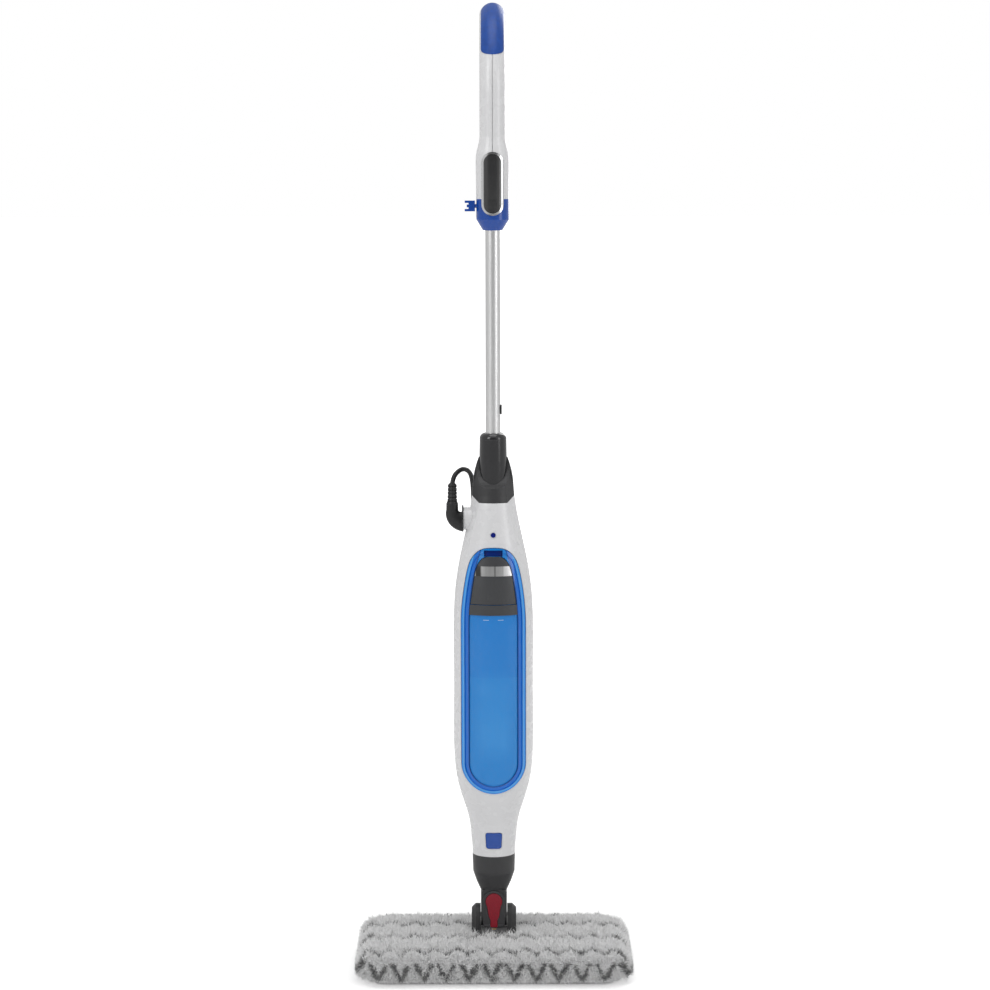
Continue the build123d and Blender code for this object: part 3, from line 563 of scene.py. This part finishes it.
PAD_HALF_X = 0.1662
PAD_FRONT = -0.1202
PAD_REAR = 0.0832
PAD_TOP = 0.0355
PAD_SOLE = 0.0012
PAD_CORNER = 0.034
PAD_EDGE = 0.0095
EDGE_REACH = 0.032
CROWN = 0.003
CROWN_REACH = 0.05
OPENING_X = 0.0325
OPENING_Y = (-0.0235, 0.0275)
NEAR_OPENING = 0.009
ROW_HALF = 0.0052
FRONT_HALF = 0.0062
CHANNEL = 0.0030
PILE_BOX = ((-0.173, -0.127, 0.0004), (0.173, 0.090, 0.06))
CELLS = (44, 56, 9)
ZIG_PERIOD = 0.0276
ZIG_VALLEY = -0.0029
ZIG_HEIGHT = 0.019
ZIG_ROWS = (0.081, 0.0238, -0.0343, -0.095)
FRONT_ZIG = (0.0225, 0.0225)
PILE_RADIUS = 0.00050
PILE_LENGTH = 0.0047
PILE_PER_PIECE = 14000


def zigzag(x):
    """-0.5 at a valley to 0.5 at a peak."""
    phase = ((x - ZIG_VALLEY) / ZIG_PERIOD) % 1.0
    return 0.5 - np.abs(phase * 2.0 - 1.0)


def line_weight(points, normals):
    """How grey the pile is: zigzag rows over the top, and one round the sides."""
    x, y, z = points.T
    wander = 0.0012 * np.sin(x * 260 + 3 * np.sin(x * 71)) + 0.0008 * np.sin(x * 610)
    rows = np.full(len(x), -9.0)
    for row in ZIG_ROWS:
        rows = np.maximum(rows, 1.0 - np.abs(y - (row + ZIG_HEIGHT * zigzag(x) + wander)) / ROW_HALF)
    front = 1.0 - np.abs(z - (FRONT_ZIG[0] + FRONT_ZIG[1] * zigzag(x) + wander)) / FRONT_HALF
    side = np.where(normals[:, 1] < -0.35, front, 0.6 * front - 0.1)
    weight = np.where(normals[:, 2] > 0.62, rows, side)
    return np.clip(weight * 2.0, 0.0, 1.0)


def channel(x, y):
    """1 along the middle of a zigzag row, 0 away from it."""
    nearest = min(abs(y - (row + ZIG_HEIGHT * zigzag(x))) for row in ZIG_ROWS)
    return max(0.0, 1.0 - nearest / (1.5 * ROW_HALF)) ** 1.5


def pad_surface(u, v, w, sign):
    """A point of half a pad: a crowned slab with round corners, soft edges and sunken channels."""
    x = sign * PAD_HALF_X * u
    y = PAD_FRONT + (PAD_REAR - PAD_FRONT) * v
    corner_x = sign * (PAD_HALF_X - PAD_CORNER)
    for edge, inward in ((PAD_FRONT, 1), (PAD_REAR, -1)):
        corner_y = edge + inward * PAD_CORNER
        across, along = abs(x - corner_x), abs(y - corner_y)
        if sign * (x - corner_x) > 0 and inward * (corner_y - y) > 0 and max(across, along) > 1e-6:
            squeeze = max(across, along) / math.hypot(across, along)
            x = corner_x + (x - corner_x) * squeeze
            y = corner_y + (y - corner_y) * squeeze
    rim = min(v, 1 - v) * (PAD_REAR - PAD_FRONT), (1 - u) * PAD_HALF_X
    inside = min(rim)
    tuck = PAD_EDGE * abs(2 * w - 1) ** 2.6 * max(0.0, 1 - inside / EDGE_REACH)
    y_push = math.copysign(tuck, -(y - (PAD_FRONT + PAD_REAR) / 2)) * max(0.0, 1 - rim[0] / EDGE_REACH)
    x_push = -sign * tuck * max(0.0, 1 - rim[1] / EDGE_REACH)
    z = PAD_SOLE + (PAD_TOP - PAD_SOLE) * w
    if w > 0.5:
        lift = (w - 0.5) * 2
        crown = CROWN * (1 - max(0.0, 1 - inside / CROWN_REACH) ** 2)
        lump = 0.0009 * math.sin(x * 95 + 1.3) * math.sin(y * 82) + 0.0006 * math.sin(x * 240 + y * 170)
        z += lift * (crown + lump - CROWN - CHANNEL * channel(x, y))
    return [x + x_push, y + y_push, z]


def pad_core(sign):
    """Half of the pad's body, open round the neck down to its sole."""
    nx, ny, nz = CELLS
    form = bmesh.new()
    grid = {}
    for i in range(nx + 1):
        for j in range(ny + 1):
            for k in range(nz + 1):
                if i in (0, nx) or j in (0, ny) or k in (0, nz):
                    point = pad_surface(i / nx, j / ny, k / nz, sign)
                    if k > 1 and abs(point[0]) < OPENING_X and OPENING_Y[0] < point[1] < OPENING_Y[1]:
                        point[2] = 0.006 + 0.002 * k / nz
                    grid[i, j, k] = form.verts.new(point)
    for i in range(nx):
        for j in range(ny):
            for k in (0, nz):
                form.faces.new([grid[i + a, j + b, k] for a, b in ((0, 0), (1, 0), (1, 1), (0, 1))])
    for i in range(nx):
        for k in range(nz):
            for j in (0, ny):
                form.faces.new([grid[i + a, j, k + b] for a, b in ((0, 0), (1, 0), (1, 1), (0, 1))])
    for j in range(ny):
        for k in range(nz):
            for i in (0, nx):
                form.faces.new([grid[i, j + a, k + b] for a, b in ((0, 0), (1, 0), (1, 1), (0, 1))])
    bmesh.ops.recalc_face_normals(form, faces=form.faces)
    mesh = bpy.data.meshes.new("pad_core")
    form.to_mesh(mesh)
    form.free()
    mesh.shade_smooth()
    return mesh


def surface_arrays(mesh):
    mesh.calc_loop_triangles()
    points = np.array([v.co for v in mesh.vertices])
    normals = np.array([v.normal for v in mesh.vertices])
    corners = np.array([t.vertices for t in mesh.loop_triangles])
    areas = np.array([t.area for t in mesh.loop_triangles])
    flats = np.array([t.normal for t in mesh.loop_triangles])
    return points, normals, corners, areas, flats


def unit(vectors):
    return vectors / np.maximum(np.linalg.norm(vectors, axis=1, keepdims=True), 1e-9)


def pull_to_opening(x, y):
    """How near a tuft is to the neck's opening, 0 to 1, and its lean towards the neck."""
    middle, half = sum(OPENING_Y) / 2, (OPENING_Y[1] - OPENING_Y[0]) / 2
    beyond = np.maximum(np.abs(x) - OPENING_X, np.abs(y - middle) - half)
    near = np.clip(1.0 - beyond / NEAR_OPENING, 0.0, 1.0)[:, None]
    return near, near * np.stack([-x, -y, np.full(len(x), 0.01)], axis=1) / 0.03


def pile(mesh, zone, count):
    """Short curling tufts over one zone of the pad, leaning together in clumps."""
    points, normals, corners, areas, flats = surface_arrays(mesh)
    middles = points[corners].mean(axis=1)
    weights = areas * zone(middles, flats)
    picks = rng.choice(len(corners), size=count, p=weights / weights.sum())
    share = rng.dirichlet((1, 1, 1), size=count)[:, :, None]
    root = (points[corners[picks]] * share).sum(axis=1)
    normal = unit((normals[corners[picks]] * share).sum(axis=1))
    x, y, z = root.T
    waves = np.sin(x * 520 + z * 300), np.cos(y * 480 + x * 210), np.sin(z * 610 + y * 260)
    clump = np.stack(waves, axis=1)
    near, inward = pull_to_opening(x, y)
    lean = unit(normal + 0.30 * clump + 0.8 * inward + rng.normal(0, 0.26, (count, 3)))
    dip = np.minimum(0.0, (lean * normal).sum(axis=1, keepdims=True) - 0.3)
    lean = unit(lean - normal * dip)
    across = unit(np.cross(lean, rng.normal(0, 1, (count, 3))))
    other = np.cross(lean, across)
    shade = rng.random(count)
    length = PILE_LENGTH * (0.6 + 0.8 * rng.random((count, 1))) * (1.0 + 0.5 * near)
    length = np.where(normal[:, 2:3] < -0.5, length * 0.2, length)
    radius = PILE_RADIUS * (0.75 + 0.6 * rng.random((count, 1)))
    drop = np.where(normal[:, 2:3] < 0.5, 0.22, 0.0) * length * np.array([[0.0, 0.0, -1.0]])
    middle = root + lean * length * 0.55 + drop * 0.3
    tip = root + (lean + rng.normal(0, 0.38, (count, 3))) * length + drop
    rings = []
    for centre, scale in ((root - normal * 0.0006, 1.0), (middle, 0.95)):
        for turn in (0.0, 2.0944, 4.1888):
            rings.append(centre + (across * math.cos(turn) + other * math.sin(turn)) * radius * scale)
    verts = np.stack([*rings, tip], axis=1)
    verts = np.clip(verts, *PILE_BOX)
    start = (np.arange(count) * 7)[:, None]
    quads = np.array([[0, 1, 4, 3], [1, 2, 5, 4], [2, 0, 3, 5]])
    tris = np.array([[3, 4, 6], [4, 5, 6], [5, 3, 6], [2, 1, 0]])
    faces = [tuple(f) for q in quads for f in (start + q)] + [tuple(f) for t in tris for f in (start + t)]
    tufted = bpy.data.meshes.new("pile")
    tufted.from_pydata(verts.reshape(-1, 3).tolist(), [], faces)
    gray = line_weight(root, normal)
    # Painted shade: tufts on the front side are darker, more so towards the bottom.
    low = np.clip(1 - z / 0.02, 0, 1)
    pale = 0.90 + 0.10 * shade - np.where(normal[:, 1] < -0.3, 0.06 + 0.16 * low * shade, 0.0)
    dark = 0.03 + 0.12 * shade ** 2
    tone = pale + (dark - pale) * gray * np.where(shade < 0.93, 0.97, 0.3)
    # Painted shade deep in the pile: each tuft is darker at its root than at its tip.
    root_shade = np.array([0.85, 0.85, 0.85, 0.95, 0.95, 0.95, 1.0])
    paint(tufted, (tone[:, None] * root_shade[None, :]).ravel())
    return tufted


def paint(mesh, tones):
    layer = mesh.color_attributes.new("tint", "FLOAT_COLOR", "POINT")
    values = np.ones((len(mesh.vertices), 4), dtype=np.float32)
    values[:, :3] = tones[:, None]
    layer.data.foreach_set("color", values.ravel())


PILE_ZONES = {
    "top_front": lambda p, n: (n[:, 2] > 0.6) & (p[:, 2] > 0.02) & (p[:, 1] < -0.025),
    "top_rear": lambda p, n: (n[:, 2] > 0.6) & (p[:, 2] > 0.02) & (p[:, 1] >= -0.025),
    "rim": lambda p, n: (np.abs(n[:, 2]) <= 0.6) & (np.abs(p[:, 0]) > 0.0005) & (p[:, 2] > 0.002),
}


def place_pad_piece(name, mesh):
    """A piece of the pad, put in the scene with the pile material and its transform baked in."""
    piece = bpy.data.objects.new(name, mesh)
    bpy.context.scene.collection.objects.link(piece)
    mesh.materials.append(MATERIALS["pile"])
    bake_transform(piece)
    return piece


def make_pad():
    for side, sign in (("left", -1), ("right", 1)):
        core = pad_core(sign)
        points, normals = surface_arrays(core)[:2]
        # The core is painted darker than the tufts as painted shade between them, with the grey zigzag lines
        # on top.
        paint(core, 0.74 - 0.68 * line_weight(points, normals))
        layers = {zone: pile(core, pick, PILE_PER_PIECE) for zone, pick in PILE_ZONES.items()}
        base = place_pad_piece("pad_" + side, core)
        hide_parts("mop_pad_" + side)
        if side == "left":
            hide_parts("mop_pad_centre")
        for zone, mesh in layers.items():
            place_pad_piece(f"pad_pile_{zone}_{side}", mesh)


make_camera()
make_world()
make_light()
make_floor()
dress_nodes()
make_cord()
make_pad()
